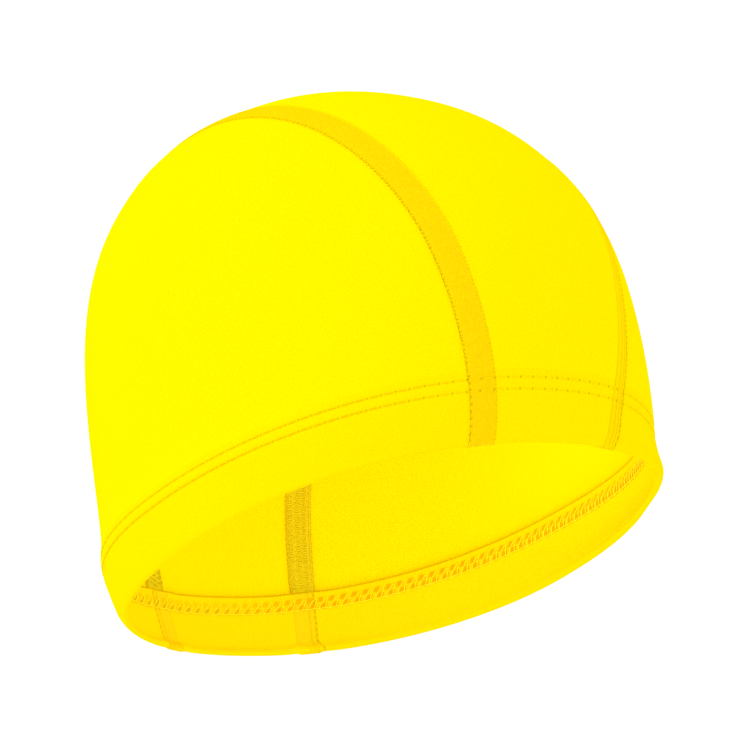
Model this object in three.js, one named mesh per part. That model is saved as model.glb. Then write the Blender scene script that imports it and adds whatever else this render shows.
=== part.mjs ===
// A swim cap in stretch knit, shaped as it sits on a head. Three panels make it: a centre strip that runs
// from the forehead over the crown to the nape, and a panel over each ear. The two seams join them. Inside,
// the overlocked edges of each seam are pressed towards the centre panel. The lower edge is turned up
// inside as a hem, so each panel is one piece of cloth: outer layer, fold at the rim, inner layer and
// raw edge.
import * as THREE from 'three';
import { mergeVertices } from 'three/addons/utils/BufferGeometryUtils.js';

// Sizes of the worn cap in millimetres and degrees. They are measured from the plane of the rim: X runs
// from the wearer's right to the wearer's left, Y from the forehead to the nape, Z up to the crown.
const capBreadth = 156;
const rimBreadth = 162;
const foreheadReach = 111;
const foreheadRimReach = 94.3;
const napeReach = 85;
const napeRimReach = 81.8;
const crownHeight = 154.7;
const earFullHeight = 42;
const foreheadFullHeight = 60;
const napeFullHeight = 4;

// Width of the centre strip at the forehead rim, over the crown and at the nape rim. The strip widens slowly
// above the rim: a widening of 1 would be even, more keeps it narrow for longer.
const centreForeheadWidth = 51.5;
const centreCrownWidth = 103.7;
const centreNapeWidth = 66.3;
const foreheadWidening = 1.2;
const napeWidening = 1.56;

// Cloth and hem. The clearance is the air left between two layers that lie on each other.
const wall = 1.2;
const allowanceWall = 1;
const allowanceWidth = 7.5;
const hemDepth = 20;
const clearance = 0.3;

// The hem bulges inwards over a seam's pressed edges, and eases back to flat beside them.
const bulgeMargin = 1;
const bulgeEase = 4;

// How the soft rim lies. It is pushed towards the wearer's left, while it tucks in on the right. It is a
// little higher at the forehead than at the nape. At the left temple the side stands out: most at the flare's
// height above the rim, and less and less up to its top. The temple's direction is measured from the forehead.
const rimSwing = 5.4;
const swingHeight = 14.7;
const foreheadLift = 3.7;
const liftHeight = 60;
const templeFlare = 4.3;
const flareHeight = 3.1;
const flareTop = 114;
const templeDirection = 56;

// The stiff seams stand up as low ridges, most of all on the crown. They are pushed away from the head's middle.
const seamRidge = 1.1;
const ridgeHalfWidth = 8.2;
const ridgeFullHeight = 140;
const headMiddleHeight = 60;

// On a head the rim slopes from the forehead down to the nape.
const wornTilt = 20;

// Roundness of the outlines: 2 is an ellipse, more is squarer.
const planRoundness = 2.17;
const earShoulder = 3.68;
const foreheadShoulder = 1.85;
const napeShoulder = 2.79;

// How finely the curves are cut into facets.
const domeRows = 15;
const earColumns = 16;
const foldSteps = 4;

const earSide = {
  full: capBreadth / 2,
  rim: rimBreadth / 2,
  fullHeight: earFullHeight,
  shoulder: earShoulder,
};
const foreheadSide = {
  full: foreheadReach,
  rim: foreheadRimReach,
  fullHeight: foreheadFullHeight,
  shoulder: foreheadShoulder,
};
const napeSide = {
  full: napeReach,
  rim: napeRimReach,
  fullHeight: napeFullHeight,
  shoulder: napeShoulder,
};

// Distance from the crown's axis to one side of the cap, at a height above the rim.
function reach(side, height) {
  if (height < side.fullHeight) {
    return side.full - (side.full - side.rim) * (1 - height / side.fullHeight) ** 2;
  }
  const rise = Math.min(1, (height - side.fullHeight) / (crownHeight - side.fullHeight));
  return side.full * Math.sqrt(1 - rise ** side.shoulder);
}

// Height at which the cap has narrowed to a half width.
function heightWhere(halfWidth) {
  const narrowed = Math.max(0, 1 - (halfWidth / earSide.full) ** 2);
  return earFullHeight + narrowed ** (1 / earShoulder) * (crownHeight - earFullHeight);
}

// Outward direction of the cap's surface at one of its points.
function outward({ x, y, z }) {
  const side = y < 0 ? foreheadSide : napeSide;
  const step = 0.05;
  const low = Math.min(z, crownHeight - 2 * step);
  const level = (atX, atY, atZ) => (Math.abs(atX) / reach(earSide, atZ)) ** planRoundness
    + (Math.abs(atY) / reach(side, atZ)) ** planRoundness;
  const slope = new THREE.Vector3(
    level(x + step, y, low) - level(x - step, y, low),
    level(x, y + step, low) - level(x, y - step, low),
    level(x, y, low + step) - level(x, y, low - step),
  );
  return slope.lengthSq() > 0 ? slope.normalize() : new THREE.Vector3(0, 0, 1);
}

// Half the width between the two seam lines, at a share of the way up from the rim to the seam's top.
function seamHalfWidth(end, share) {
  const rimHalf = (end < 0 ? centreForeheadWidth : centreNapeWidth) / 2;
  const widening = end < 0 ? foreheadWidening : napeWidening;
  return THREE.MathUtils.lerp(rimHalf, centreCrownWidth / 2, Math.max(0, share) ** widening);
}

// Point of the centre strip. End is -1 on the forehead half and 1 on the nape half, height is taken at the
// seam, and across gives the distance from the middle for a half width between the seams.
const seamTop = heightWhere(centreCrownWidth / 2);
function centrePoint(end, height, across) {
  const share = height / seamTop;
  const halfWidth = seamHalfWidth(end, share);
  const x = across(halfWidth);
  const top = heightWhere(Math.abs(x / halfWidth) * centreCrownWidth / 2);
  const z = share * (seamTop + (top - seamTop) * share ** 2);
  const side = end < 0 ? foreheadSide : napeSide;
  const ratio = Math.min(1, Math.abs(x) / Math.max(reach(earSide, z), Number.EPSILON));
  const y = end * reach(side, z) * (1 - ratio ** planRoundness) ** (1 / planRoundness);
  return new THREE.Vector3(x, y, z);
}

// Point of the left ear panel, at a height and at a share of the way from the front seam to the back seam.
const earTop = heightWhere((centreCrownWidth + clearance) / 2);
function earPoint(height, share) {
  const breadth = reach(earSide, height);
  const seamTurn = (end) => {
    const halfWidth = seamHalfWidth(end, height / earTop) + clearance / 2;
    return Math.asin(Math.min(1, halfWidth / breadth) ** (planRoundness / 2));
  };
  const turn = THREE.MathUtils.lerp(seamTurn(-1), Math.PI - seamTurn(1), share);
  const forward = Math.cos(turn);
  const side = forward > 0 ? foreheadSide : napeSide;
  const power = 2 / planRoundness;
  const x = breadth * Math.sin(turn) ** power;
  const y = -Math.sign(forward) * reach(side, height) * Math.abs(forward) ** power;
  return new THREE.Vector3(x, y, height);
}

// The soft rim swings and lifts, the side flares at the temple, and the seams stand up.
function settle(point) {
  const across = point.x / (rimBreadth / 2);
  const along = point.y / (point.y < 0 ? foreheadRimReach : napeRimReach);
  const direction = THREE.MathUtils.degToRad(templeDirection);
  const nearTemple = Math.max(0, across * Math.sin(direction) - along * Math.cos(direction)) ** 2;
  const swing = rimSwing * across * Math.max(0, 1 - point.z / swingHeight) ** 1.5;
  const flared = Math.sin(Math.PI / 2 * Math.min(1, point.z / flareHeight)) ** 2
    * THREE.MathUtils.smoothstep(flareTop - point.z, 0, flareTop - flareHeight);
  const lift = -foreheadLift * along * Math.max(0, 1 - point.z / liftHeight) ** 2;
  const beside = seamHalfWidth(point.y, Math.min(1, point.z / seamTop)) - Math.abs(point.x);
  const ridge = seamRidge * Math.exp(-((beside / ridgeHalfWidth) ** 2))
    * Math.min(1, Math.max(0, point.z / ridgeFullHeight)) ** 2;
  const fromAxis = new THREE.Vector3(point.x, point.y, 0).normalize();
  const fromHead = new THREE.Vector3(point.x, point.y, point.z - headMiddleHeight).normalize();
  return point.clone()
    .addScaledVector(fromAxis, swing + templeFlare * nearTemple * flared)
    .addScaledVector(fromHead, ridge)
    .add(new THREE.Vector3(0, 0, lift));
}

// Heights of the rows of one panel above the hem, closer together towards the seam's top.
function domeHeights(top) {
  const start = Math.asin(hemDepth / top);
  const rows = Array.from({ length: domeRows }, (_, row) => (row + 1) / domeRows);
  return rows.map((share) => top * Math.sin(THREE.MathUtils.lerp(start, Math.PI / 2, share)));
}

// The way of the cloth through the hem, from the raw edge inside, down, round the fold and up outside.
// Each station gives the depth under the cap's surface and the height, for the cloth's two faces. Room is
// the air left between the two layers.
const layerShares = [1, 0.7, 0.4, 0.2];
function hemStations(room) {
  const outerRadius = wall + room / 2;
  const innerRadius = room / 2;
  const heights = [...layerShares.map((share) => share * hemDepth), outerRadius];
  const insideLayer = heights.map((height) => ({
    outer: { depth: 2 * outerRadius, height },
    inner: { depth: 2 * outerRadius - wall, height },
  }));
  const turns = Array.from({ length: foldSteps - 1 }, (_, step) => Math.PI * (1 - (step + 1) / foldSteps));
  const onArc = (radius, turn) => ({
    depth: outerRadius - radius * Math.cos(turn),
    height: outerRadius - radius * Math.sin(turn),
  });
  const fold = turns.map((turn) => ({ outer: onArc(outerRadius, turn), inner: onArc(innerRadius, turn) }));
  const outsideLayer = heights.toReversed().map((height) => ({
    outer: { depth: 0, height },
    inner: { depth: wall, height },
  }));
  return [...insideLayer, ...fold, ...outsideLayer];
}

const plainRoom = clearance;
const seamRoom = allowanceWall + 2 * clearance;
const easedRoom = (beside) => THREE.MathUtils.lerp(
  seamRoom,
  plainRoom,
  THREE.MathUtils.smoothstep(beside, 0, bulgeEase),
);

// Closed cloth solid between two grids of points, its outer and its inner face, with walls along the
// borders. Rows that meet in one point, as at the top of an ear panel, are merged.
function clothSolid(outerGrid, innerGrid) {
  const lastRow = outerGrid.length - 1;
  const lastColumn = outerGrid[0].length - 1;
  const outer = (row, column) => row * (lastColumn + 1) + column;
  const inner = (row, column) => outer(row, column) + (lastRow + 1) * (lastColumn + 1);
  const corners = [];
  const quad = (...fourCorners) => {
    const [a, b, c, d] = fourCorners;
    corners.push(a, b, c, a, c, d);
  };
  for (let row = 0; row < lastRow; row += 1) {
    const next = row + 1;
    quad(outer(row, 0), outer(next, 0), inner(next, 0), inner(row, 0));
    quad(outer(next, lastColumn), outer(row, lastColumn), inner(row, lastColumn), inner(next, lastColumn));
    for (let column = 0; column < lastColumn; column += 1) {
      const beside = column + 1;
      quad(outer(row, column), outer(row, beside), outer(next, beside), outer(next, column));
      quad(inner(row, column), inner(next, column), inner(next, beside), inner(row, beside));
    }
  }
  for (let column = 0; column < lastColumn; column += 1) {
    const beside = column + 1;
    quad(outer(0, beside), outer(0, column), inner(0, column), inner(0, beside));
    quad(outer(lastRow, column), outer(lastRow, beside), inner(lastRow, beside), inner(lastRow, column));
  }
  const loose = new THREE.BufferGeometry().setFromPoints([...outerGrid.flat(), ...innerGrid.flat()]);
  loose.setIndex(corners);
  const solid = mergeVertices(loose, clearance / 100);
  solid.setIndex(facingOut(solid));
  solid.computeVertexNormals();
  return solid;
}

// Triangles of a closed mesh without the collapsed ones, turned so that all of them face outwards.
function facingOut(geometry) {
  const points = geometry.getAttribute('position');
  const corner = (index) => new THREE.Vector3().fromBufferAttribute(points, index);
  const indices = geometry.getIndex().array;
  const kept = [];
  let volume = 0;
  for (let at = 0; at < indices.length; at += 3) {
    const [a, b, c] = indices.slice(at, at + 3);
    if (a !== b && b !== c && c !== a) {
      kept.push([a, b, c]);
      volume += corner(a).dot(corner(b).cross(corner(c)));
    }
  }
  return kept.flatMap(([a, b, c]) => (volume > 0 ? [a, b, c] : [a, c, b]));
}

// Both faces of a cloth panel at its stations and columns. Each column gives its stations and its points.
function panelGrids(columns) {
  const face = (name) => columns[0].stations.map((_, row) => columns.map(({ stations, pointAt }) => {
    const { depth, height } = stations[row][name];
    const point = pointAt(height, stations[row].end);
    return settle(point.addScaledVector(outward(point), -depth));
  }));
  return [face('outer'), face('inner')];
}

const onEnd = (stations, end) => stations.map((station) => ({ ...station, end }));
const plainLayer = (heights) => heights.map((height) => ({
  outer: { depth: 0, height },
  inner: { depth: wall, height },
}));

// Centre panel: hem at the forehead, over the crown, hem at the nape.
function centrePanel() {
  const bulgeWidth = allowanceWidth + bulgeMargin;
  const flatFrom = bulgeWidth + bulgeEase;
  const besideSeam = [clearance / 2, allowanceWidth / 2, bulgeWidth, (bulgeWidth + flatFrom) / 2, flatFrom];
  const middleShares = [2 / 3, 1 / 3];
  const halfColumns = [
    ...besideSeam.map((beside) => ({
      room: easedRoom(beside - bulgeWidth),
      across: (halfWidth) => halfWidth - beside,
    })),
    ...middleShares.map((share) => ({
      room: plainRoom,
      across: (halfWidth) => (halfWidth - flatFrom) * share,
    })),
  ];
  const middleColumn = { room: plainRoom, across: () => 0 };
  const otherHalf = halfColumns.toReversed().map(({ room, across }) => ({
    room,
    across: (halfWidth) => -across(halfWidth),
  }));
  const heights = domeHeights(seamTop);
  const columns = [...halfColumns, middleColumn, ...otherHalf].map(({ room, across }) => ({
    stations: [
      ...onEnd([...hemStations(room), ...plainLayer(heights)], -1),
      ...onEnd([...plainLayer(heights.toReversed().slice(1)), ...hemStations(room).toReversed()], 1),
    ],
    pointAt: (height, end) => centrePoint(end, height, across),
  }));
  return clothSolid(...panelGrids(columns));
}

// Ear panel: hem over the ear, then up to the point where its two seams meet at the crown's side. Its first
// and last columns lie close together, where the hem's bulge eases out beside a seam.
const seamShares = [0, 0.015, 0.035];
function earPanel(mirror) {
  const middleShares = Array.from({ length: earColumns - 1 }, (_, column) => (column + 1) / earColumns);
  const shares = [...seamShares, ...middleShares, ...seamShares.toReversed().map((share) => 1 - share)];
  const frontCorner = earPoint(hemDepth, 0);
  const backCorner = earPoint(hemDepth, 1);
  const columns = shares.map((share) => {
    const point = earPoint(hemDepth, share);
    const beside = Math.min(point.distanceTo(frontCorner), point.distanceTo(backCorner));
    return {
      stations: [...hemStations(easedRoom(beside)), ...plainLayer(domeHeights(earTop))],
      pointAt: (height) => earPoint(height, share).multiply(mirror),
    };
  });
  return clothSolid(...panelGrids(columns));
}

// Pressed seam edges: a strip inside the centre panel, from the hem at the forehead to the hem at the nape.
function seamAllowance(mirror) {
  const foldTop = wall + seamRoom / 2;
  const hemHeights = [foldTop, ...layerShares.toReversed().map((share) => share * hemDepth)];
  const heights = [...hemHeights, ...domeHeights(seamTop)];
  const stationHeights = [
    ...heights.map((height) => ({ end: -1, height })),
    ...heights.toReversed().slice(1).map((height) => ({ end: 1, height })),
  ];
  const columns = [clearance, allowanceWidth / 2, allowanceWidth];
  const face = (depth) => stationHeights.map(({ end, height }) => columns.map((beside) => {
    const point = centrePoint(end, height, (halfWidth) => halfWidth - beside).multiply(mirror);
    return settle(point.addScaledVector(outward(point), -depth));
  }));
  return clothSolid(face(wall + clearance), face(wall + clearance + allowanceWall));
}

// The rim's middle is the origin, and the whole cap leans back by its worn tilt.
const wornCap = new THREE.Group();
wornCap.name = 'swim_cap';
wornCap.rotation.x = -THREE.MathUtils.degToRad(wornTilt);
const rimFrame = new THREE.Group();
rimFrame.position.set(-rimSwing, (foreheadRimReach - napeRimReach) / 2, 0);
wornCap.add(rimFrame);

function addPiece(name, geometry, colour, roughness) {
  const material = new THREE.MeshStandardMaterial({ color: colour, roughness, metalness: 0 });
  const piece = new THREE.Mesh(geometry, material);
  piece.name = name;
  rimFrame.add(piece);
}

const towardsLeft = new THREE.Vector3(1, 1, 1);
const towardsRight = new THREE.Vector3(-1, 1, 1);
const knitYellow = '#fff200';
const knitRoughness = 0.7;
const overlockYellow = '#ffd000';
const overlockRoughness = 0.85;
addPiece('centre_panel', centrePanel(), knitYellow, knitRoughness);
addPiece('left_panel', earPanel(towardsLeft), knitYellow, knitRoughness);
addPiece('right_panel', earPanel(towardsRight), knitYellow, knitRoughness);
addPiece('left_seam_allowance', seamAllowance(towardsLeft), overlockYellow, overlockRoughness);
addPiece('right_seam_allowance', seamAllowance(towardsRight), overlockYellow, overlockRoughness);

export default wornCap;
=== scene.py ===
# %% [markdown]
# A swim cap in stretch knit, shown as it sits on a head. It is sewn from three panels: a centre strip from
# the forehead over the crown to the nape, and a panel over each ear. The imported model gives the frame: its
# box, its names and the place of each piece. This lesson dresses that frame in real cloth and thread.

# %% Load the frame
import math

import bpy
import numpy as np
from mathutils import Matrix, Vector


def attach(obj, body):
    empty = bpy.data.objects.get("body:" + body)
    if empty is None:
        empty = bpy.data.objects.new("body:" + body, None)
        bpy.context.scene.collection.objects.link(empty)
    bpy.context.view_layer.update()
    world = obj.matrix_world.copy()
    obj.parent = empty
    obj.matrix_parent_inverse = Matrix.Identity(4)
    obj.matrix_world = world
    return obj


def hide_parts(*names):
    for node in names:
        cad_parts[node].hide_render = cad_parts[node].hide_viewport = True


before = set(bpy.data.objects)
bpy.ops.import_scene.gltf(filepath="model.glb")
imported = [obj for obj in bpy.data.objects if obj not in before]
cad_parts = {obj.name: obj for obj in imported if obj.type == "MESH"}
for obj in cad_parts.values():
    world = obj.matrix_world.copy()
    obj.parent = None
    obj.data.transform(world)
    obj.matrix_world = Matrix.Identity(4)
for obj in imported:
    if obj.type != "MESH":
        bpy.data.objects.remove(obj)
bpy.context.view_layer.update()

mm = 0.001
print("nodes in the frame:", sorted(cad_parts))

# %% [markdown]
# The cap's surface is a rounded dome that is known by a few sizes: how far each side reaches, at which
# height it is fullest, and how square its shoulders are. The sizes are measured from the plane of the rim,
# X towards the wearer's left, Y towards the nape and Z up. The same sizes place every panel and stitch.

# %% Sizes of the worn cap
crown_height = 154.7 * mm
ear_side = {"full": 78 * mm, "rim": 81 * mm, "full_height": 42 * mm, "shoulder": 3.68}
forehead_side = {"full": 111 * mm, "rim": 94.3 * mm, "full_height": 60 * mm, "shoulder": 1.85}
nape_side = {"full": 85 * mm, "rim": 81.8 * mm, "full_height": 4 * mm, "shoulder": 2.79}
plan_roundness = 2.17

forehead_strip_width = 51.5 * mm
crown_strip_width = 103.7 * mm
nape_strip_width = 66.3 * mm
forehead_widening = 1.2
nape_widening = 1.56

rim_swing = 5.4 * mm
swing_height = 14.7 * mm
forehead_lift = 3.7 * mm
lift_height = 60 * mm
temple_flare = 4.6 * mm
front_flare_share = 0.6
front_flare_from = 0.5
front_flare_over = 0.3
flare_height = 4 * mm
flare_top = 114 * mm
temple_direction = math.radians(56)
temple_pull = 2.4 * mm
pull_height = 14 * mm
pull_fade_from = 20 * mm
pull_fade_over = 60 * mm
hem_stand = 1.6 * mm
stand_height = 17 * mm
stand_reach = 5 * mm
seam_ridge = 1.1 * mm
ridge_half_width = 8.2 * mm
ridge_full_height = 140 * mm
head_middle_height = 60 * mm
worn_tilt = math.radians(20)


# %% Helpers: the dome's surface
def reach(side, height):
    """Distance from the crown's axis to one side of the cap, at a height above the rim."""
    below = side["full"] - (side["full"] - side["rim"]) * (1 - height / side["full_height"]) ** 2
    rise = np.clip((height - side["full_height"]) / (crown_height - side["full_height"]), 0, 1)
    above = side["full"] * np.sqrt(1 - rise ** side["shoulder"])
    return np.where(height < side["full_height"], below, above)


def end_reach(end, height):
    """Reach towards the forehead where end is negative, and towards the nape elsewhere."""
    return np.where(end < 0, reach(forehead_side, height), reach(nape_side, height))


def height_where(half_width):
    """Height at which the cap has narrowed to a half width."""
    narrowed = np.maximum(0, 1 - (half_width / ear_side["full"]) ** 2)
    return ear_side["full_height"] + narrowed ** (1 / ear_side["shoulder"]) * (
        crown_height - ear_side["full_height"]
    )


def outward(points):
    """Direction that points straight out of the cap at each point, from small steps to each side of it."""
    x, y, z = np.moveaxis(points, -1, 0)
    step = 0.05 * mm
    low = np.minimum(z, crown_height - 2 * step)

    def level(at_x, at_y, at_z):
        return (np.abs(at_x) / reach(ear_side, at_z)) ** plan_roundness + (
            np.abs(at_y) / end_reach(y, at_z)
        ) ** plan_roundness

    slope = np.stack(
        [
            level(x + step, y, low) - level(x - step, y, low),
            level(x, y + step, low) - level(x, y - step, low),
            level(x, y, low + step) - level(x, y, low - step),
        ],
        -1,
    )
    length = np.linalg.norm(slope, axis=-1, keepdims=True)
    return np.where(length > 0, slope / np.maximum(length, 1e-12), (0, 0, 1))


# %% Helpers: the seams and the panels between them
seam_top = float(height_where(crown_strip_width / 2))


def seam_half_width(end, height):
    """Half the width between the two seam lines, at a height on the seam."""
    rim_half = np.where(end < 0, forehead_strip_width, nape_strip_width) / 2
    widening = np.where(end < 0, forehead_widening, nape_widening)
    return rim_half + (crown_strip_width / 2 - rim_half) * np.maximum(0, height / seam_top) ** widening


def strip_point(end, height, x):
    """Point of the centre strip: the height is taken at the seam, and x is the distance from the middle."""
    share = height / seam_top
    top = height_where(np.abs(x / seam_half_width(end, height)) * crown_strip_width / 2)
    z = share * (seam_top + (top - seam_top) * share**2)
    ratio = np.minimum(1, np.abs(x) / np.maximum(reach(ear_side, z), 1e-9))
    y = end * end_reach(end, z) * (1 - ratio**plan_roundness) ** (1 / plan_roundness)
    return np.stack(np.broadcast_arrays(x, y, z), -1)


def round_point(turn, height):
    """Point of the cap at a turn round it, from the forehead over the wearer's left to the nape."""
    power = 2 / plan_roundness
    sine, cosine = np.sin(turn), np.cos(turn)
    x = reach(ear_side, height) * np.sign(sine) * np.abs(sine) ** power
    y = -end_reach(-cosine, height) * np.sign(cosine) * np.abs(cosine) ** power
    return np.stack(np.broadcast_arrays(x, y, height), -1)


def turn_of(points):
    """The turn round the cap at which a point lies. At the very top any turn will do."""
    x, y, z = np.moveaxis(points, -1, 0)
    least = 0.001 * mm
    breadth = np.maximum(reach(ear_side, z), least)
    depth = np.maximum(end_reach(y, z), least)
    sine = np.sign(x) * (np.abs(x) / breadth) ** (plan_roundness / 2)
    cosine = -np.sign(y) * (np.abs(y) / depth) ** (plan_roundness / 2)
    return np.arctan2(sine, cosine) % (2 * np.pi)


# %% [markdown]
# A soft cap isn't as even as that dome. On a head the rim swings to one side, the cloth flares over the
# temple and is pulled down there, the hem stands out a little, and the seams hold the cloth up in a ridge.
# Each of these is one term, so that panels and threads follow them alike.

# %% Helpers: from the dome to the worn cap
def smooth(value):
    """A soft step from 0 to 1."""
    held = np.clip(value, 0, 1)
    return held * held * (3 - 2 * held)


def settle(points):
    """Moves points of the dome to where the soft cap has them."""
    x, y, z = np.moveaxis(points, -1, 0)
    across = x / ear_side["rim"]
    along = y / np.where(y < 0, forehead_side["rim"], nape_side["rim"])
    near = across * math.sin(temple_direction) - along * math.cos(temple_direction)
    swing = rim_swing * across * np.maximum(0, 1 - z / swing_height) ** 1.5
    flared = np.sin(np.pi / 2 * np.clip(z / flare_height, 0, 1)) ** 2 * smooth(
        (flare_top - z) / (flare_top - flare_height)
    )
    at_rim = front_flare_share * smooth((-along - front_flare_from) / front_flare_over)
    flared = at_rim * (1 - smooth(z / flare_top)) + (1 - at_rim) * flared
    flare = temple_flare * np.maximum(0, near) ** 2 * flared
    hem_out = hem_stand * np.maximum(0, -across) ** 4 * np.exp(-(((z - stand_height) / stand_reach) ** 2))
    lift = -forehead_lift * along * np.maximum(0, 1 - z / lift_height) ** 2
    pull = smooth(z / pull_height) * (1 - smooth((z - pull_fade_from) / pull_fade_over))
    lift = lift - temple_pull * np.maximum(0, near) ** 6 * pull
    push = (swing + flare + hem_out) / np.maximum(np.hypot(x, y), 1e-9)
    beside = seam_half_width(y, np.minimum(z, seam_top)) - np.abs(x)
    risen = np.clip(z / ridge_full_height, 0, 1) ** 2
    ridge = seam_ridge * np.exp(-((beside / ridge_half_width) ** 2)) * risen
    over = z - head_middle_height
    stand = ridge / np.maximum(np.sqrt(x * x + y * y + over * over), 1e-9)
    return np.stack([x + x * (push + stand), y + y * (push + stand), z + lift + over * stand], -1)


def worn(points):
    """From the plane of the rim to the cap's place, leaning back on a head."""
    x, y, z = np.moveaxis(points, -1, 0)
    x = x - rim_swing
    y = y + (forehead_side["rim"] - nape_side["rim"]) / 2
    cosine, sine = math.cos(worn_tilt), math.sin(worn_tilt)
    return np.stack([x, y * cosine + z * sine, z * cosine - y * sine], -1)


def on_cap(points, depth):
    """Places surface points at a depth under the cap's outer face."""
    return worn(settle(points - outward(points) * np.asarray(depth)[..., None]))


# %% [markdown]
# The cloth is a thin knit. Along each seam the panel edges dip into a small valley, because both edges turn
# inwards there. The pressed edges lie under the centre strip and lift it a little. The hem is turned up
# inside. It is held by two rows of stitches that draw small grooves, and its raw edge curls away from them.
# The fold at the rim hangs a little lower than the dome's edge, most of all where the seams make it thick.

# %% Sizes of the cloth and the hem
cloth = 0.7 * mm
allowance_cloth = 0.6 * mm
allowance_width = 7.5 * mm
hem_depth = 20 * mm
upper_row = 17.7 * mm
lower_row = 14.3 * mm
plain_fold = 0.85 * mm
seam_fold = 1.15 * mm
fold_margin = 1.0 * mm
fold_ease = 6.0 * mm

valley_depth = 0.25 * mm
valley_width = 0.8 * mm
pressed_lift = 0.2 * mm
pressed_slope = 1.5 * mm
groove_depth = 0.22 * mm
groove_width = 0.7 * mm
curl = 0.3 * mm
curl_gap = 0.3 * mm
curl_reach = 1.7 * mm
rim_drop = 0.5 * mm
seam_bump = 0.35 * mm
bump_fade = 2 * mm
drop_reach = 3 * mm


def seam_dip(beside):
    """How deep the outer face lies near a seam. Beside is positive on the centre strip."""
    valley = valley_depth * np.exp(-((beside / valley_width) ** 2))
    pressed = smooth(beside / pressed_slope) * (1 - smooth((beside - allowance_width) / pressed_slope))
    return valley - pressed_lift * pressed


def row_groove(height):
    """How deep the two rows of stitches draw the cloth in."""
    rows = [np.exp(-(((height - row) / groove_width) ** 2)) for row in (upper_row, lower_row)]
    return groove_depth * (rows[0] + rows[1])


def fold_radius(beside):
    """Outer radius of the fold at the rim. It is larger over the pressed edges of a seam."""
    on_strip = (beside - allowance_width - fold_margin) / fold_ease
    on_ear = -beside / fold_ease
    return seam_fold + (plain_fold - seam_fold) * smooth(np.maximum(on_strip, on_ear))


# %% [markdown]
# A panel starts as a flat grid, as a cloth piece starts flat. Its rows follow the way of the cloth: from the
# raw edge inside, down to the fold at the rim, and up outside over the dome. The code moves each vertex to
# its place and keeps three maps: the knit in millimetres, the distance to the seam with the height above the
# rim, and the count of stitches round the hem. A Solidify modifier then gives the cloth its thickness.

# %% Helpers: rows of the hem
layer_rows = 34
fold_rows = 9


def hem_rows(radius, beside):
    """Heights, depths and side of the cloth's rows from the raw edge, round the fold, to the hem's top."""
    share = np.linspace(1, 0, layer_rows)[:, None]
    turn = np.linspace(math.pi, 0, fold_rows + 2)[1:-1, None]
    flat = radius + (hem_depth - radius) * share
    height = np.concatenate([flat, radius * (1 - np.sin(turn)), flat[::-1]])
    curled = curl * smooth((flat - upper_row - curl_gap) / curl_reach)
    inner = 2 * radius + curled - row_groove(flat)
    depth = np.concatenate([inner, radius * (1 - np.cos(turn)), row_groove(flat[::-1])])
    sign = np.concatenate([-np.ones(len(flat)), np.sign(np.cos(turn[:, 0]) + 1e-6), np.ones(len(flat))])
    over_seam = 1 - smooth((np.abs(beside - allowance_width / 2) - allowance_width / 2) / bump_fade)
    height = height - (rim_drop + seam_bump * over_seam) * np.exp(-((height / drop_reach) ** 2))
    return height, depth, sign[:, None] + 0 * height


# %% Helpers: stitches round the rim
stitch_length = 4.2 * mm
round_steps = 1441
between_rows = (upper_row + lower_row) / 2
round_turns = np.linspace(0, 2 * np.pi, round_steps)
round_line = worn(settle(round_point(round_turns, np.full(round_steps, between_rows))))
round_lengths = np.concatenate([[0], np.cumsum(np.linalg.norm(np.diff(round_line, axis=0), axis=1))])
stitch_count = round(round_lengths[-1] / stitch_length)
stitch_pitch = round_lengths[-1] / stitch_count
print(f"rim length {round_lengths[-1] / mm:.0f} mm, {stitch_count} stitches round it")


def stitches_at(points, end):
    """Number of stitches from the middle of the forehead to each point, without a jump at the nape."""
    turn = turn_of(points)
    turn = np.where((end < 0) & (turn > np.pi), turn - 2 * np.pi, turn)
    whole = np.floor(turn / (2 * np.pi))
    return np.interp(turn % (2 * np.pi), round_turns, round_lengths) / stitch_pitch + whole * stitch_count


# %% Helpers: selecting and editing
def deselect_all():
    bpy.ops.object.select_all(action="DESELECT")


def take(piece):
    """Selects one piece and makes it active, as a click would."""
    deselect_all()
    piece.select_set(True)
    bpy.context.view_layer.objects.active = piece


def edit_all(piece, step, **settings):
    """Runs one edit-mode step on the whole of a piece."""
    take(piece)
    bpy.ops.object.mode_set(mode="EDIT")
    bpy.ops.mesh.select_all(action="SELECT")
    step(**settings)
    bpy.ops.object.mode_set(mode="OBJECT")


# %% Helpers: vertices and maps
def places(piece):
    """The piece's vertices as an array."""
    points = np.empty(len(piece.data.vertices) * 3)
    piece.data.vertices.foreach_get("co", points)
    return points.reshape(-1, 3)


def move_to(piece, points):
    """Moves each vertex of the piece."""
    piece.data.vertices.foreach_set("co", np.asarray(points, dtype=float).ravel())
    piece.data.update()


def add_map(piece, name, values):
    """A UV map from one pair of numbers for each vertex."""
    corners = np.empty(len(piece.data.loops), dtype=int)
    piece.data.loops.foreach_get("vertex_index", corners)
    layer = piece.data.uv_layers.new(name=name)
    layer.uv.foreach_set("vector", np.asarray(values, dtype=float).reshape(-1, 2)[corners].ravel())


def triangles(piece):
    return sum(len(face.vertices) - 2 for face in piece.data.polygons)


# %% Helpers: cloth
merge_distance = 0.01 * mm


def flat_cloth(name, rows, columns):
    """A flat grid of vertices without maps, ready to be shaped."""
    deselect_all()
    bpy.ops.mesh.primitive_grid_add(x_subdivisions=columns - 1, y_subdivisions=rows - 1, size=1)
    piece = bpy.context.object
    piece.name = name
    piece.data.name = name
    while piece.data.uv_layers:
        piece.data.uv_layers.remove(piece.data.uv_layers[0])
    return piece


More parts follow.
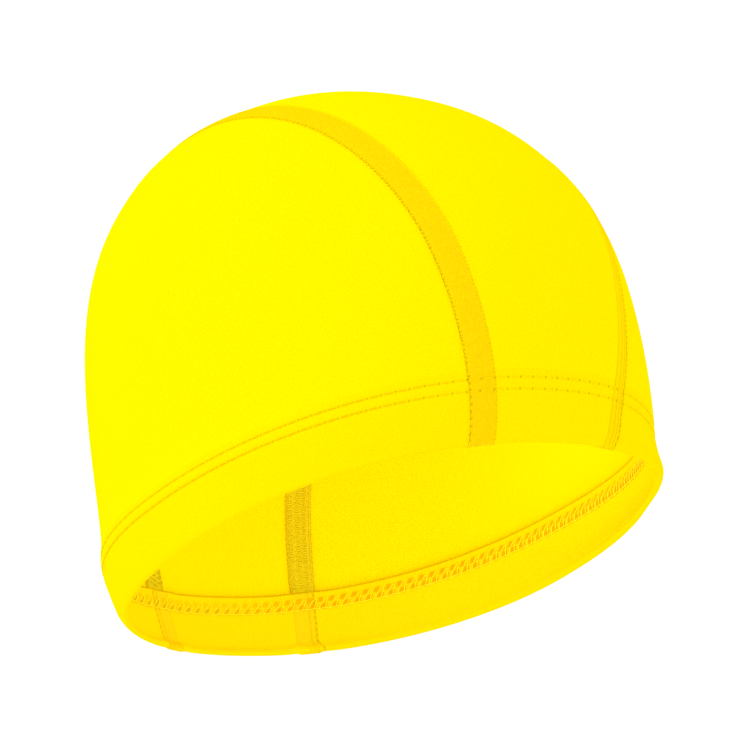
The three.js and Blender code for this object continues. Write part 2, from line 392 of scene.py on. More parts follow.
def lay_cloth(name, surface, depth, maps, thickness):
    """Shapes a flat grid over the cap, adds its maps and closes it to a cloth of the given thickness."""
    piece = flat_cloth(name, *surface.shape[:2])
    laid = on_cap(surface, depth)
    move_to(piece, laid)
    for map_name, values in maps.items():
        add_map(piece, map_name, values)
    middle = piece.data.polygons[len(piece.data.polygons) // 2]
    under = on_cap(surface, depth + mm).reshape(-1, 3) - laid.reshape(-1, 3)
    if np.dot(middle.normal, under[middle.vertices[0]]) > 0:
        edit_all(piece, bpy.ops.mesh.flip_normals)
    edit_all(piece, bpy.ops.mesh.remove_doubles, threshold=merge_distance)
    take(piece)
    wall = piece.modifiers.new("thickness", "SOLIDIFY")
    wall.thickness = thickness
    wall.offset = -1
    wall.material_offset = 1
    bpy.ops.object.modifier_apply(modifier=wall.name)
    bpy.ops.object.shade_smooth()
    print(f"{name}: {triangles(piece)} triangles")
    return piece


def area_of(laid):
    """Area of a grid of points."""
    across = laid[1:, 1:] - laid[:-1, :-1]
    other = laid[1:, :-1] - laid[:-1, 1:]
    return float(np.linalg.norm(np.cross(across, other), axis=-1).sum() / 2)


# %% [markdown]
# The centre panel runs from the forehead over the crown to the nape, and it has a hem at both ends. Its
# columns lie close together beside the seams, where the cloth dips and the pressed edges lift it.

# %% Centre panel
seam_gap = 0.02 * mm
near_seam = np.array([0.02, 0.35, 0.7, 1.1, 1.6, 2.3, 3.2, 4.2, 5.2, 6.1, 6.9, 7.5, 8.1, 8.8, 9.8, 11.2]) * mm
middle_columns = 33
far_from_seam = 50 * mm
forehead_rows = 140
nape_rows = 120


def dome_heights(top, count):
    """Heights of the rows above the hem, in even steps of the turn up to the top."""
    start = math.asin(hem_depth / top)
    return top * np.sin(np.linspace(start, math.pi / 2, count + 1)[1:])


def along_middle(surface, depth):
    """Length along the middle column, row by row."""
    middle = on_cap(surface, depth)[:, surface.shape[1] // 2]
    steps = np.linalg.norm(np.diff(middle, axis=0), axis=1)
    return np.concatenate([[0], np.cumsum(steps)])


def half_centre_panel(end, rows):
    """Rows of one half of the centre panel, from its raw edge up to the crown."""
    far = np.full(middle_columns, far_from_seam)
    beside = np.concatenate([near_seam, far, near_seam[::-1]])[None, :]
    height, depth, sign = hem_rows(fold_radius(beside), beside)
    dome = dome_heights(seam_top, rows)[:, None] + 0 * beside
    height = np.concatenate([height, dome])
    depth = np.concatenate([depth, 0 * dome])
    sign = np.concatenate([sign, 1 + 0 * dome])
    half = seam_half_width(end, height)
    shares = np.linspace(1, -1, middle_columns + 2)[1:-1]
    near = half[:, : len(near_seam)] - near_seam
    middle = (half[:, :1] - near_seam[-1]) * shares
    x = np.concatenate([near, middle, -near[:, ::-1]], axis=1)
    beside = half - np.abs(x)
    surface = strip_point(end, height, x)
    depth = depth + np.where(sign > 0, seam_dip(beside), 0)
    place = np.stack([beside, sign * height], -1) / mm
    return surface, depth, place, stitches_at(surface, end)


forehead_half = half_centre_panel(-1, forehead_rows)
nape_half = [grid[::-1][1:] for grid in half_centre_panel(1, nape_rows)]
surface, depth, place, count = [np.concatenate(pair) for pair in zip(forehead_half, nape_half)]
length = along_middle(surface, depth)[:, None]
maps = {
    "knit": np.stack(np.broadcast_arrays(surface[..., 0], length), -1) / mm,
    "place": place,
    "stitching": np.stack([count, place[..., 0]], -1),
}
centre_panel = lay_cloth("centre_panel_cloth", surface, depth, maps, cloth)
centre_area = area_of(on_cap(surface, depth))

# %% [markdown]
# An ear panel has one long hem. Above it, its two seams run together to a point at the side of the crown.
# The right panel is the left one mirrored, and both are turned outwards before they get their thickness.

# %% Ear panels
ear_columns = 110
ear_rows = 120
ear_share_of_rim = 0.37
ear_top = float(height_where(crown_strip_width / 2 + seam_gap))
ear_seam_distances = np.array([0, 0.3, 0.65, 1.05, 1.5, 2.1, 3, 4.2]) * mm


def ear_point(height, share):
    """Point of the left ear panel, at a height and a share of the way from the front to the back seam."""
    breadth = reach(ear_side, height)

    def seam_turn(end):
        half = seam_half_width(end, height / ear_top * seam_top) + seam_gap
        return np.arcsin(np.minimum(1, half / breadth) ** (plan_roundness / 2))

    front = seam_turn(-1)
    back = np.pi - seam_turn(1)
    return round_point(front + (back - front) * share, height)


def ear_panel(name, mirror):
    """One ear panel: hem, side and top."""
    hem_line = round_lengths[-1] * ear_share_of_rim
    near = ear_seam_distances / hem_line
    shares = np.concatenate([near, np.linspace(near[-1], 1 - near[-1], ear_columns)[1:-1], 1 - near[::-1]])
    beside = -np.minimum(shares, 1 - shares)[None, :] * hem_line
    height, depth, sign = hem_rows(fold_radius(beside), beside)
    dome = dome_heights(ear_top, ear_rows)[:, None] + 0 * beside
    height = np.concatenate([height, dome])
    depth = np.concatenate([depth, 0 * dome])
    sign = np.concatenate([sign, 1 + 0 * dome])
    surface = ear_point(height, shares[None, :])
    end = np.sign(surface[..., 1])
    beside = seam_half_width(end, height) - surface[..., 0]
    depth = depth + np.where(sign > 0, seam_dip(beside), 0)
    surface = surface * np.array([mirror, 1, 1])
    laid = on_cap(surface, depth)
    along = along_middle(surface, depth)[:, None]
    steps = np.linalg.norm(np.diff(laid, axis=1), axis=-1)
    across = np.concatenate([np.zeros((len(laid), 1)), np.cumsum(steps, axis=1)], axis=1)
    across = across - across[:, across.shape[1] // 2][:, None]
    maps = {
        "knit": np.stack(np.broadcast_arrays(across, along), -1) / mm,
        "place": np.stack([beside, sign * height], -1) / mm,
        "stitching": np.stack([stitches_at(surface, 1), beside / mm], -1),
    }
    panel = lay_cloth(name, surface, depth, maps, cloth)
    return panel, area_of(laid), float(across.max() - across.min()), float(along[-1, 0])


left_panel, left_area, ear_width, ear_length = ear_panel("left_panel_cloth", 1)
right_panel, right_area, _, _ = ear_panel("right_panel_cloth", -1)
print(f"ear panel: {ear_width / mm:.0f} by {ear_length / mm:.0f} mm")
print(f"ear panel: {left_area * 1e4:.0f} square centimetres")

# %% [markdown]
# Inside, the two edges of each seam are pressed towards the centre panel and show as a strip. The strip is
# a sheet too. Its free edge waves a little, where the overlock threads pull it in.

# %% Pressed seam edges
allowance_rows = 420
allowance_columns = 9
allowance_start = -0.7 * mm
overlock_pitch = 1.8 * mm
edge_wave = 0.12 * mm
strip_gap = 0.05 * mm
strip_depth = cloth + strip_gap
path_steps = 2001
path_middle = path_steps // 2


def seam_path(rows):
    """Ends and heights along a seam, from the forehead's rim over the top to the nape's rim."""
    foot = math.asin(seam_fold / seam_top)
    turn = np.linspace(foot, math.pi - foot, rows)
    return np.where(turn < math.pi / 2, -1.0, 1.0), seam_top * np.sin(turn)


def beside_seam(end, height, beside, mirror):
    """Surface points at a distance beside one of the seams."""
    x = seam_half_width(end, height) - beside
    return strip_point(end, height, x) * np.array([mirror, 1, 1])


path_end, path_height = seam_path(path_steps)
path_line = worn(settle(beside_seam(path_end, path_height, 0, 1)))
path_lengths = np.concatenate([[0], np.cumsum(np.linalg.norm(np.diff(path_line, axis=0), axis=1))])
print(f"seam length {path_lengths[-1] / mm:.0f} mm")


def pressed_edges(name, mirror):
    """The strip of pressed edges along one seam."""
    end, height = [values[:, None] for values in seam_path(allowance_rows)]
    beside = np.linspace(allowance_start, allowance_width, allowance_columns)[None, :]
    run = np.interp(np.arange(allowance_rows), [0, allowance_rows - 1], [0, path_lengths[-1]])[:, None]
    wave = edge_wave * np.sin(2 * np.pi * run / overlock_pitch) * smooth(beside / allowance_width)
    surface = beside_seam(end, height, beside + wave, mirror)
    depth = strip_depth + seam_dip(beside) + 0 * height
    knit = np.stack(np.broadcast_arrays(beside, run), -1) / mm
    return lay_cloth(name, surface, depth, {"knit": knit}, allowance_cloth)


left_edges = pressed_edges("left_pressed_edges", 1)
right_edges = pressed_edges("right_pressed_edges", -1)

# %% [markdown]
# A thread is a curve with a round bevel. One stitch is modelled flat, turned into a mesh, and repeated by an
# Array modifier to a straight trim. The trim is then wrapped onto the cap like the panels: its length runs
# along the seam or round the rim, its width across it, and its height stands off the cloth.

# %% Helpers: a trim of stitches
def flat_trim(name, strands, radius, pitch, count):
    """A straight row of stitches. A strand is a list of points, in metres, for one stitch."""
    deselect_all()
    curve = bpy.data.curves.new(name, "CURVE")
    curve.dimensions = "3D"
    curve.bevel_depth = radius
    curve.bevel_resolution = 1
    curve.use_fill_caps = True
    for strand in strands:
        spline = curve.splines.new("POLY")
        spline.points.add(len(strand) - 1)
        for point, place_at in zip(spline.points, strand):
            point.co = (*place_at, 1)
    piece = bpy.data.objects.new(name, curve)
    bpy.context.collection.objects.link(piece)
    take(piece)
    bpy.ops.object.convert(target="MESH")
    piece = bpy.context.object
    row = piece.modifiers.new("row", "ARRAY")
    row.use_relative_offset = False
    row.use_constant_offset = True
    row.constant_offset_displace = (pitch, 0, 0)
    row.count = count
    bpy.ops.object.modifier_apply(modifier=row.name)
    return piece


def rounded(points, steps):
    """More points on a smooth line through the given ones, a Catmull-Rom spline."""
    points = np.array(points, dtype=float)
    before = np.concatenate([[2 * points[0] - points[1]], points, [2 * points[-1] - points[-2]]])
    line = []
    for a, b, c, d in zip(before, before[1:], before[2:], before[3:]):
        bend = 2 * a - 5 * b + 4 * c - d
        twist = 3 * b - a - 3 * c + d
        for t in np.linspace(0, 1, steps, endpoint=False):
            line.append(b + 0.5 * ((c - a) * t + bend * t**2 + twist * t**3))
    return [tuple(point) for point in [*line, points[-1]]]


def wrap(piece, laid):
    """Moves a flat trim to its place, faces it outwards and smooths it."""
    move_to(piece, laid)
    edit_all(piece, bpy.ops.mesh.normals_make_consistent, inside=False)
    take(piece)
    bpy.ops.object.shade_smooth()
    print(f"{piece.name}: {triangles(piece)} triangles")
    return piece


def wrap_along_seam(piece, mirror, inside):
    """Lays a trim along a seam. Its width is the distance beside the seam."""
    run, beside, proud = places(piece).T
    at = np.clip(run, 0, path_lengths[-1])
    end = np.where(np.interp(at, path_lengths, np.arange(path_steps)) < path_middle, -1.0, 1.0)
    height = np.interp(at, path_lengths, path_height)
    surface = beside_seam(end, height, beside, mirror)
    if inside:
        depth = strip_depth + allowance_cloth + seam_dip(beside) + proud
    else:
        depth = seam_dip(beside) - proud
    return wrap(piece, on_cap(surface, depth))


def wrap_round_rim(piece, inside):
    """Lays a trim round the rim. Its width is the height above the rim."""
    run, height, proud = places(piece).T
    surface = round_point(np.interp(run % round_lengths[-1], round_lengths, round_turns), height)
    beside = seam_half_width(np.sign(surface[:, 1]), height) - np.abs(surface[:, 0])
    if inside:
        depth = 2 * fold_radius(beside) - row_groove(height) + proud
    else:
        depth = seam_dip(beside) + row_groove(height) - proud
    return wrap(piece, on_cap(surface, depth))


# %% [markdown]
# The hem's outside shows two rows of straight stitches. Each stitch lies in the groove and sinks into the
# cloth at both ends. Inside, a looper thread locks them between the two rows. Points of a stitch are given as
# a share of its length, with the height over the cloth in millimetres.

# %% Stitches outside on the hem
needle_thread = 0.15 * mm
stitch_rise = [(0.13, -0.35), (0.2, -0.02), (0.35, 0.08), (0.5, 0.1)]
stitch_fall = [(0.65, 0.08), (0.8, -0.02), (0.87, -0.35)]
stitch_shape = stitch_rise + stitch_fall
strands = [
    rounded([(share * stitch_pitch, row, proud * mm) for share, proud in stitch_shape], 2)
    for row in (upper_row, lower_row)
]
hem_stitches = flat_trim("hem_stitches", strands, needle_thread, stitch_pitch, stitch_count)
wrap_round_rim(hem_stitches, inside=False)

# %% [markdown]
# The looper thread is one leaf and one base line for each stitch. The leaf leans with the way of sewing, and
# it comes back beside itself, so that a row of them reads as a braid.

# %% Looper thread inside the hem
looper_thread = 0.19 * mm
leaf = [(1.0, 14.2, 0.1), (0.8, 15.3, 0.3), (0.5, 16.4, 0.4), (0.22, 17.2, 0.3), (0.12, 17.0, 0.22)]
leaf = [*leaf, (0.2, 16.1, 0.25), (0.36, 15.0, 0.2), (0.46, 14.2, 0.1)]
base_line = [(0, 14.0, 0.12), (0.3, 14.15, 0.3), (0.7, 14.1, 0.3), (1, 14.0, 0.12)]
strands = [
    rounded([(share * stitch_pitch, at * mm, proud * mm) for share, at, proud in line], 3)
    for line in (leaf, base_line)
]
hem_braid = flat_trim("hem_braid", strands, looper_thread, stitch_pitch, stitch_count)
wrap_round_rim(hem_braid, inside=True)

# %% [markdown]
# The pressed edges are overlocked. Looper threads run in three rows of small zigzags from the seam to the
# free edge, needle stitches run along the seam, and a thread binds the edge. They end where the hem begins.

# %% Overlock threads inside the seams
overlock_thread = 0.18 * mm
over_hem = hem_depth + 0.1 * mm
hem_run = float(np.interp(over_hem, path_height[:path_middle], path_lengths[:path_middle]))
back_height = path_height[path_middle:][::-1]
back_lengths = path_lengths[path_middle:][::-1]
hem_run_back = float(np.interp(over_hem, back_height, back_lengths))
overlock_count = int((hem_run_back - hem_run) / overlock_pitch)
seam_zigzag = [(0, 0.3, 0.05), (0.25, 1.6, 0.25), (0.5, 2.9, 0.1), (0.75, 1.6, 0.2), (1, 0.3, 0.05)]
middle_zigzag = [(0, 5.2, 0.1), (0.25, 3.9, 0.2), (0.5, 2.6, 0.1), (0.75, 3.9, 0.28), (1, 5.2, 0.1)]
edge_zigzag = [(0, 4.9, 0.05), (0.25, 6.2, 0.25), (0.5, 7.5, 0.05), (0.75, 6.2, 0.18), (1, 4.9, 0.05)]
seam_bar = [(0.1, -0.3, -0.1), (0.3, -0.2, 0.25), (0.7, -0.1, 0.25), (0.9, 0.0, -0.1)]
edge_binding = [(0, 7.2, 0.25), (0.25, 7.7, 0.05), (0.5, 7.75, -0.4), (0.75, 7.6, 0.0), (1, 7.2, 0.25)]


def overlock(name, mirror):
    """The overlock threads of one seam."""
    lines = (seam_zigzag, middle_zigzag, edge_zigzag, seam_bar, edge_binding)
    strands = [
        rounded([(hem_run + along * overlock_pitch, at * mm, proud * mm) for along, at, proud in line], 2)
        for line in lines
    ]
    trim = flat_trim(name, strands, overlock_thread, overlock_pitch, overlock_count)
    return wrap_along_seam(trim, mirror, inside=True)


left_overlock = overlock("left_overlock", 1)
right_overlock = overlock("right_overlock", -1)

# %% [markdown]
# Outside, a sewn seam shows only where its thread bridges the valley between the two panels. One short bar is
# enough. It starts and ends inside the cloth.

# %% Stitches in the seams' valleys, outside
valley_thread = 0.09 * mm
bar = [(0.35, -0.75, -0.3), (0.45, -0.4, 0.1), (0.5, 0, 0.22), (0.55, 0.4, 0.1), (0.65, 0.75, -0.3)]
valley_count = int(path_lengths[-1] / overlock_pitch)


def valley_stitches(name, mirror):
    """The threads that bridge the valley of one seam, outside."""
    strand = rounded([(along * overlock_pitch, at * mm, proud * mm) for along, at, proud in bar], 2)
    trim = flat_trim(name, [strand], valley_thread, overlock_pitch, valley_count)
    return wrap_along_seam(trim, mirror, inside=False)


left_valley = valley_stitches("left_seam_stitches", 1)
right_valley = valley_stitches("right_seam_stitches", -1)

# %% [markdown]
# Finishes are built from nodes. One small class lets an expression on values add its Math nodes, so that the
# patterns below read like sums. Any other node comes from one method.

# %% Helpers: values that are nodes
class Value:
    """The output of a node. Sums with it add Math nodes."""

    def __init__(self, socket):
        self.socket = socket

    def maths(self, operation, other=None, swapped=False):
        given = [self] if other is None else [self, other]
        if swapped:
            given.reverse()
        return node(self.socket.id_data, "ShaderNodeMath", {"operation": operation}, dict(enumerate(given)))

    def __add__(self, other):
        return self.maths("ADD", other)

    def __radd__(self, other):
        return self.maths("ADD", other)

    def __sub__(self, other):
        return self.maths("SUBTRACT", other)

    def __rsub__(self, other):
        return self.maths("SUBTRACT", other, swapped=True)

    def __mul__(self, other):
        return self.maths("MULTIPLY", other)

    def __rmul__(self, other):
        return self.maths("MULTIPLY", other)

    def __truediv__(self, other):
        return self.maths("DIVIDE", other)

    def fraction(self):
        return self.maths("FRACT")

    def size(self):
        return self.maths("ABSOLUTE")

    def cosine(self):
        return self.maths("COSINE")

    def square_root(self):
        return self.maths("SQRT")

    def from_zero_to_one(self):
        return self.maths("MINIMUM", 1).maths("MAXIMUM", 0)


def node(tree, kind, settings, inputs, output=0):
    """Adds one node: first its settings, then the values or links of its sockets."""
    made = tree.nodes.new(kind)
    for name, setting in settings.items():
        setattr(made, name, setting)
    for name, given in inputs.items():
        if isinstance(given, Value):
            tree.links.new(given.socket, made.inputs[name])
        else:
            made.inputs[name].default_value = given
    return Value(made.outputs[output])


def mix(share, first, second):
    """A colour between two colours."""
    tree = share.socket.id_data
    settings = {"data_type": "RGBA"}
    return node(tree, "ShaderNodeMix", settings, {0: share, 6: first, 7: second}, output=2)


# %% Helpers: finishes
def finish_named(name, **sockets):
    """A new material with plain values on its shader's sockets."""
    material = bpy.data.materials.new(name)
    material.use_nodes = True
    shader = material.node_tree.nodes["Principled BSDF"]
    for socket, value in sockets.items():
        shader.inputs[socket.replace("_", " ")].default_value = value
    return material


def feed(material, socket, value):
    """Links a value to a socket of the material's shader."""
    shader = material.node_tree.nodes["Principled BSDF"]
    material.node_tree.links.new(value.socket, shader.inputs[socket])


def map_values(material, name):
    """The two numbers of one of the piece's maps."""
    tree = material.node_tree
    both = node(tree, "ShaderNodeUVMap", {"uv_map": name}, {})
    return [node(tree, "ShaderNodeSeparateXYZ", {}, {0: both}, output=index) for index in (0, 1)]


def noise(material, scale, detail=2.0):
    """Soft random spots on the object, from 0 to 1."""
    tree = material.node_tree
    place_in = node(tree, "ShaderNodeTexCoord", {}, {}, output=3)
    inputs = {"Vector": place_in, "Scale": scale, "Detail": detail}
    return node(tree, "ShaderNodeTexNoise", {}, inputs)


def sideways(material):
    """How far a point lies towards the wearer's left, in millimetres."""
    tree = material.node_tree
    place_in = node(tree, "ShaderNodeTexCoord", {}, {}, output=3)
    return node(tree, "ShaderNodeSeparateXYZ", {}, {0: place_in}, output=0) / mm


def bumped(material, height, distance):
    """A bump of the given height in metres."""
    inputs = {"Height": height, "Distance": distance, "Strength": 1.0}
    feed(material, "Normal", node(material.node_tree, "ShaderNodeBump", {}, inputs))


def bare(value):
    """Keeps what is over zero."""
    return value.maths("MAXIMUM", 0)


# %% [markdown]
# The knit is drawn in its own map, in millimetres. Its wales stand side by side every 0.65 mm. In each wale
# the loops lie one over another as small Vs. From the pattern come a bump and a slight painted shade
# between the loops.

# %% Knit finish
wale = 0.65
course = 0.5
shader_basics = {"Specular_IOR_Level": 0.0}


def loops(material, flip=1.0):
    """Height of the knit's loops, from 0 to 1. With flip at -1 it is the purl side."""
    across, along = map_values(material, "knit")
    half = (across / wale).fraction() - 0.5
    ridge = (half * (2 * math.pi)).cosine() * 0.5 + 0.5
    legs = ((along / course + flip * half.size() * 1.6) * (2 * math.pi)).cosine() * 0.5 + 0.5
    return ridge * (0.45 + 0.55 * legs)


def near_line(value, line, width):
    """1 on a line and 0 from its width on."""
    return bare(1 - ((value - line) / width).size())


def ramp(value, start, end):
    """0 up to the start, 1 from the end on, even between them."""
    return ((value - start) / (end - start)).from_zero_to_one()


def dots(along, pitch, beside, line, size):
    """Round dots in a row along a line."""
    offset = ((along / pitch).fraction() - 0.5) * pitch
    apart = beside - line
    distance = (offset * offset + apart * apart).square_root()
    return (1.5 - distance / size).from_zero_to_one()


knit_outside = finish_named("knit_outside", Roughness=0.85, **shader_basics)
beside, height = map_values(knit_outside, "place")
count, _ = map_values(knit_outside, "stitching")
across, along = map_values(knit_outside, "knit")
pattern = loops(knit_outside)
mottled = noise(knit_outside, 900.0, 3.0)

# %% [markdown]
# Thin cloth shows what lies under it. Over the pressed edges the centre panel is deeper in colour, in a band
# that is narrower on the wearer's left. On the turned-in hem the band is olive: partly the pressed edges
# showing through, partly painted soft shade beside the seam. Fine darker lines are painted along the seam on
# the wearer's left and on the turned-in hem. The masks read the distance to the seam and the height above
# the rim, in millimetres. A height under zero is the turned-in hem.

# %% Where the pressed edges show through
turned_in = ramp(height, 0, -1)
left_half = ramp(across, 0, 5) * (1 - turned_in)
soft_edge = 0.4 + 0.9 * ramp(height.size(), 25, 85)
band_width = 7.9
narrower = 2.4
band_reach = band_width - narrower * left_half
over_edges = ((band_reach - beside) / soft_edge).from_zero_to_one() * ramp(beside, 0.1, 0.4)
band = over_edges * (0.45 + 0.9 * mottled) * (1 - 0.5 * left_half) * (1 - 0.3 * turned_in)
seam_lines = near_line(beside, 0.25, 0.4) + near_line(beside, 1.9, 0.35)
left_lines = near_line(beside, 3.3, 0.35) + near_line(beside, 5.3, 0.4) + seam_lines
inner_lines = near_line(beside, 0.4, 0.6) + near_line(beside, 2.2, 0.6) + 0.5 * near_line(beside, 7.6, 0.5)
lines = left_lines * left_half + inner_lines * turned_in

# %% [markdown]
# A needle leaves a small hole at each end of a stitch, and each hole is painted dark as the shade in it.
# Holes and dots are round spots at even steps. The dots on the seam line are painted shade in the spaces
# between the valley stitches. Behind the looper's braid, the shade between its loops is painted as two rows
# of slanting strokes.

# %% Stitch holes, seam dots and the painted shade behind the looper thread
hole_across = ((count + 0.5).fraction() - 0.5) * (stitch_pitch / mm)
row_holes = None
for row in (upper_row / mm, lower_row / mm):
    hole = (hole_across * hole_across + (height - row) * (height - row)).square_root()
    here = (1.6 - hole * 3.2).from_zero_to_one()
    row_holes = here if row_holes is None else row_holes + here
hem_layer = ramp(height, 20.5, 20.0)
seam_dot_line = 0.2
close_dots = dots(along, 1.3, beside, seam_dot_line, 0.25)
wide_dots = dots(along, 2.05, beside, seam_dot_line, 0.32)
seam_dots = close_dots * (1 - hem_layer) + wide_dots * hem_layer
edge_dots = dots(along, 1.2, beside, allowance_width / mm, 0.25) * (1 - left_half) * (1 - turned_in)
# Painted shade in the spaces between the looper's loops: two rows of slanting strokes behind the braid.
slant_share = 0.15
slant = count - slant_share * height
upper_row_here = ramp(height, -18.2, -17.7) * ramp(height, -16.0, -16.5)
lower_row_here = ramp(height, -15.9, -15.5) * ramp(height, -14.0, -14.4)
braid_dash_shade = upper_row_here * ramp(((slant + 0.2).fraction() - 0.5).size(), 0.3, 0.14)
braid_gap_shade = lower_row_here * ramp(((slant + 0.75).fraction() - 0.5).size(), 0.36, 0.2)
# Painted shadow: a thin dark line under the curled raw edge of the turned-in hem.
raw_edge_shadow = ramp(height, -19.3, -19.6)
object_x = sideways(knit_outside)
to_the_left = ramp(object_x, -10, 30)
at_the_side = ramp(object_x.size(), 35, 65)
row_shade_lines = near_line(height, upper_row / mm, 0.7) + near_line(height, lower_row / mm, 0.7)

# %% [markdown]
# The colours lie over one another in layers: first the knit and its hem, then the bands and lines of the
# pressed edges, the painted shade of the holes, and last the painted shade behind the looper's braid and the
# painted shadow line under the raw edge. Towards the ears the stitch rows are painted a deeper orange as
# shade in their grooves, as in the photograph.

# %% Colours of the outside
cloth_yellow = (1.0, 0.785, 0.0, 1.0)
hem_yellow = (1.0, 0.72, 0.0, 1.0)
inside_yellow = (1.0, 0.86, 0.001, 1.0)
turned_yellow = (1.0, 0.70, 0.001, 1.0)
band_yellow = (0.90, 0.595, 0.001, 1.0)
band_olive_and_shade = (0.76, 0.62, 0.005, 1.0)
line_and_shadow_olive = (0.60, 0.46, 0.0, 1.0)
hole_shade_brown = (0.50, 0.40, 0.0, 1.0)
loop_shadow = (0.97, 0.73, 0.0, 1.0)
gap_shade_olive = (0.60, 0.45, 0.003, 1.0)
dash_shade_orange = (1.0, 0.44, 0.0, 1.0)
row_shade_orange = (0.93, 0.58, 0.0, 1.0)
colour = mix((1 - pattern) * 0.5, cloth_yellow, loop_shadow)
colour = mix(hem_layer * (1 - turned_in) * 0.5, colour, hem_yellow)
colour = mix(turned_in * 0.8, colour, turned_yellow)
# The band is the pressed edges showing through. On the turned-in hem it is partly painted soft shade beside
# the seam.
colour = mix(band.from_zero_to_one(), colour, mix(turned_in, band_yellow, band_olive_and_shade))
colour = mix(lines.from_zero_to_one() * 0.55, colour, line_and_shadow_olive)
# Needle holes and the spaces between the valley stitches are painted dark, as the shade in them. The dots
# along the free edge of the pressed edges take the same colour.
dark_dots = (0.75 * row_holes + 0.75 * seam_dots + 0.3 * edge_dots).from_zero_to_one()
colour = mix(dark_dots * 0.75, colour, hole_shade_brown)
# Painted shade in the grooves of the stitch rows, a deeper orange towards the ears.
colour = mix(row_shade_lines * at_the_side * 0.45, colour, row_shade_orange)
# Painted shade behind the braid. It is stronger and orange towards the wearer's left, and olive towards the
# wearer's right.
colour = mix(braid_dash_shade * (0.25 + 0.7 * to_the_left), colour, dash_shade_orange)
colour = mix(braid_gap_shade * (0.75 + 0.2 * to_the_left), colour, mix(to_the_left, gap_shade_olive, dash_shade_orange))
# The painted shadow line under the raw edge.
colour = mix(raw_edge_shadow * 0.85, colour, line_and_shadow_olive)
feed(knit_outside, "Base Color", colour)
relief = pattern + 0.5 * mottled * over_edges - 1.5 * row_holes - 1.2 * seam_dots - edge_dots - braid_gap_shade - braid_dash_shade
bumped(knit_outside, relief, 0.12 * mm)

# %% [markdown]
# Inside, the purl side of the knit faces the head and is a little lighter. The pressed edges are two layers
# with cut ends, so they are mottled and duller. Thread is smooth yarn with fine fibres.

# %% Inside of the knit, pressed edges and threads
knit_inside = finish_named("knit_inside", Roughness=0.9, **shader_basics)
pattern = loops(knit_inside, flip=-1.0)
# Between the loops the purl side is painted darker, as the shade in the knit's hollows.
feed(knit_inside, "Base Color", mix((1 - pattern) * 0.4, inside_yellow, cloth_yellow))
bumped(knit_inside, pattern, 0.06 * mm)

edge_yellow = (0.82, 0.70, 0.007, 1.0)
edge_shadow = (0.62, 0.51, 0.005, 1.0)
pressed_knit = finish_named("pressed_knit", Roughness=0.9, **shader_basics)
pattern = loops(pressed_knit)
feed(pressed_knit, "Base Color", mix(noise(pressed_knit, 700.0), edge_shadow, edge_yellow))
bumped(pressed_knit, pattern, 0.12 * mm)


def thread_finish(name, light, dark, roughness):
    """Spun thread: fine fibres in two near colours."""
    material = finish_named(name, Roughness=roughness, **shader_basics)
    fibres = noise(material, 2500.0, 3.0)
    feed(material, "Base Color", mix(fibres, dark, light))
    bumped(material, fibres, 0.05 * mm)
    return material


seam_thread = thread_finish("seam_thread", (1.0, 0.76, 0.0, 1.0), (0.98, 0.66, 0.0, 1.0), 0.75)
braid_thread = thread_finish("braid_thread", (1.0, 0.88, 0.02, 1.0), (0.98, 0.76, 0.004, 1.0), 0.75)
overlock_yarn = thread_finish("overlock_yarn", (0.90, 0.77, 0.012, 1.0), (0.70, 0.57, 0.005, 1.0), 0.8)

# %% The hem thread is painted deeper orange at the sides, as shade
thread_yellow = (1.0, 0.70, 0.0, 1.0)
thread_shade_orange = (0.96, 0.52, 0.0, 1.0)
hem_thread = finish_named("hem_thread", Roughness=0.75, **shader_basics)
# Painted shade: the hem thread turns deeper orange towards the sides.
thread_side_shade = ramp(sideways(hem_thread).size(), 25, 60)
feed(hem_thread, "Base Color", mix(thread_side_shade, thread_yellow, thread_shade_orange))
bumped(hem_thread, noise(hem_thread, 2500.0, 3.0), 0.05 * mm)

# %% Put the finishes on
for panel in (centre_panel, left_panel, right_panel):
    panel.data.materials.append(knit_outside)
    panel.data.materials.append(knit_inside)
for strip in (left_edges, right_edges):
    strip.data.materials.append(pressed_knit)
    strip.data.materials.append(pressed_knit)
for trim, material in (
    (hem_stitches, hem_thread),
    (hem_braid, braid_thread),
    (left_overlock, overlock_yarn),
    (right_overlock, overlock_yarn),
    (left_valley, seam_thread),
    (right_valley, seam_thread),
):
    trim.data.materials.append(material)

# %% [markdown]
# Each panel takes the place of its plain solid, and the threads ride with the cap. A worn cap is stretched,
# so the cut is smaller than the laid cloth.

# %% Ride on the frame
for piece, node_name, slot_name in (
    (centre_panel, "centre_panel", "centre_knit"),
    (left_panel, "left_panel", "ear_knit"),
    (right_panel, "right_panel", "ear_knit"),
    (left_edges, "left_seam_allowance", "overlock"),
    (right_edges, "right_seam_allowance", "overlock"),
):
    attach(piece, "root")
    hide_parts(node_name)
for trim in (hem_stitches, hem_braid, left_overlock, right_overlock, left_valley, right_valley):
    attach(trim, "root")

# %% [markdown]
# The cap is shown in the air, as a head would hold it, over a plain pale floor. The light is soft: a white
# world all round, and one large lamp from the upper left.

# %% Floor, light and world
floor_drop = 0.16
floor_size = 14
floor_behind = 2.5
world_strength = 1.19
deselect_all()
bpy.ops.mesh.primitive_plane_add(size=floor_size, location=(0, floor_behind, -floor_drop))
floor = bpy.context.object
floor.name = "floor"
floor_white = finish_named("floor_white", Base_Color=(0.95, 0.95, 0.95, 1.0), Roughness=0.9)
floor.data.materials.append(floor_white)

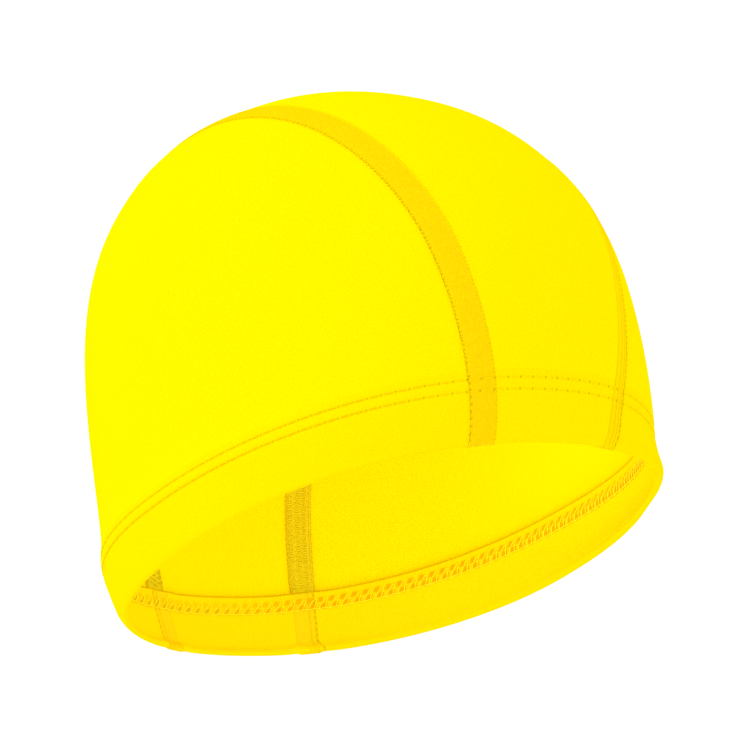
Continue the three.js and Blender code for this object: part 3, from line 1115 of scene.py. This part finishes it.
world = bpy.data.worlds.new("studio")
bpy.context.scene.world = world
world.use_nodes = True
world.node_tree.nodes["Background"].inputs["Color"].default_value = (1.0, 1.0, 1.0, 1.0)
world.node_tree.nodes["Background"].inputs["Strength"].default_value = world_strength
bpy.context.scene.view_settings.view_transform = "Standard"


def soft_lamp(name, place_at, aim_at, size, power):
    """A square lamp that looks at a point. Sizes are in metres and power in watts."""
    bpy.ops.object.light_add(type="AREA", location=place_at)
    lamp = bpy.context.object
    lamp.name = name
    lamp.data.size = size
    lamp.data.energy = power
    lamp.rotation_euler = (Vector(aim_at) - Vector(place_at)).to_track_quat("-Z", "Y").to_euler()
    return lamp


soft_lamp("key_lamp", place_at=(-1.3, 0.1, 0.9), aim_at=(0, 0, 0.06), size=0.9, power=4.0)

# %% [markdown]
# Thin knit lets light through, so the inside of a real cap glows. A faint round lamp in the middle of the
# hollow stands for that light. The camera doesn't see it.

# %% Light in the hollow
hollow_place = (-0.005, 0.005, 0.05)
hollow_radius = 0.025
hollow_power = 0.115
bpy.ops.object.light_add(type="POINT", location=hollow_place)
hollow_lamp = bpy.context.object
hollow_lamp.name = "hollow_lamp"
hollow_lamp.data.shadow_soft_size = hollow_radius
hollow_lamp.data.energy = hollow_power
hollow_lamp.visible_camera = False

# %% [markdown]
# The camera stands a little below the rim, before the wearer's right side, so that it also looks into the
# cap. Its place comes from a fit of the cap's outline, rim and stitch rows to the photograph.

# %% Camera
azimuth = math.radians(-36.17)
elevation = math.radians(-5.36)
roll = math.radians(1.10)
distance = 0.73179
aim = Vector((-7.10, 1.62, 58.28)) * mm
lens = 110.09
back = Vector(
    (
        math.sin(azimuth) * math.cos(elevation),
        -math.cos(azimuth) * math.cos(elevation),
        math.sin(elevation),
    )
)
level_right = (-back).cross(Vector((0, 0, 1))).normalized()
level_up = level_right.cross(-back)
right = level_right * math.cos(roll) + level_up * math.sin(roll)
up = level_up * math.cos(roll) - level_right * math.sin(roll)
deselect_all()
bpy.ops.object.camera_add(location=aim + back * distance)
camera = bpy.context.object
camera.rotation_euler = Matrix((right, up, back)).transposed().to_euler()
camera.data.lens = lens
camera.data.sensor_width = 36
camera.data.clip_start = 0.01
bpy.context.scene.camera = camera
print("camera at", [round(value / mm, 1) for value in camera.location], "mm")
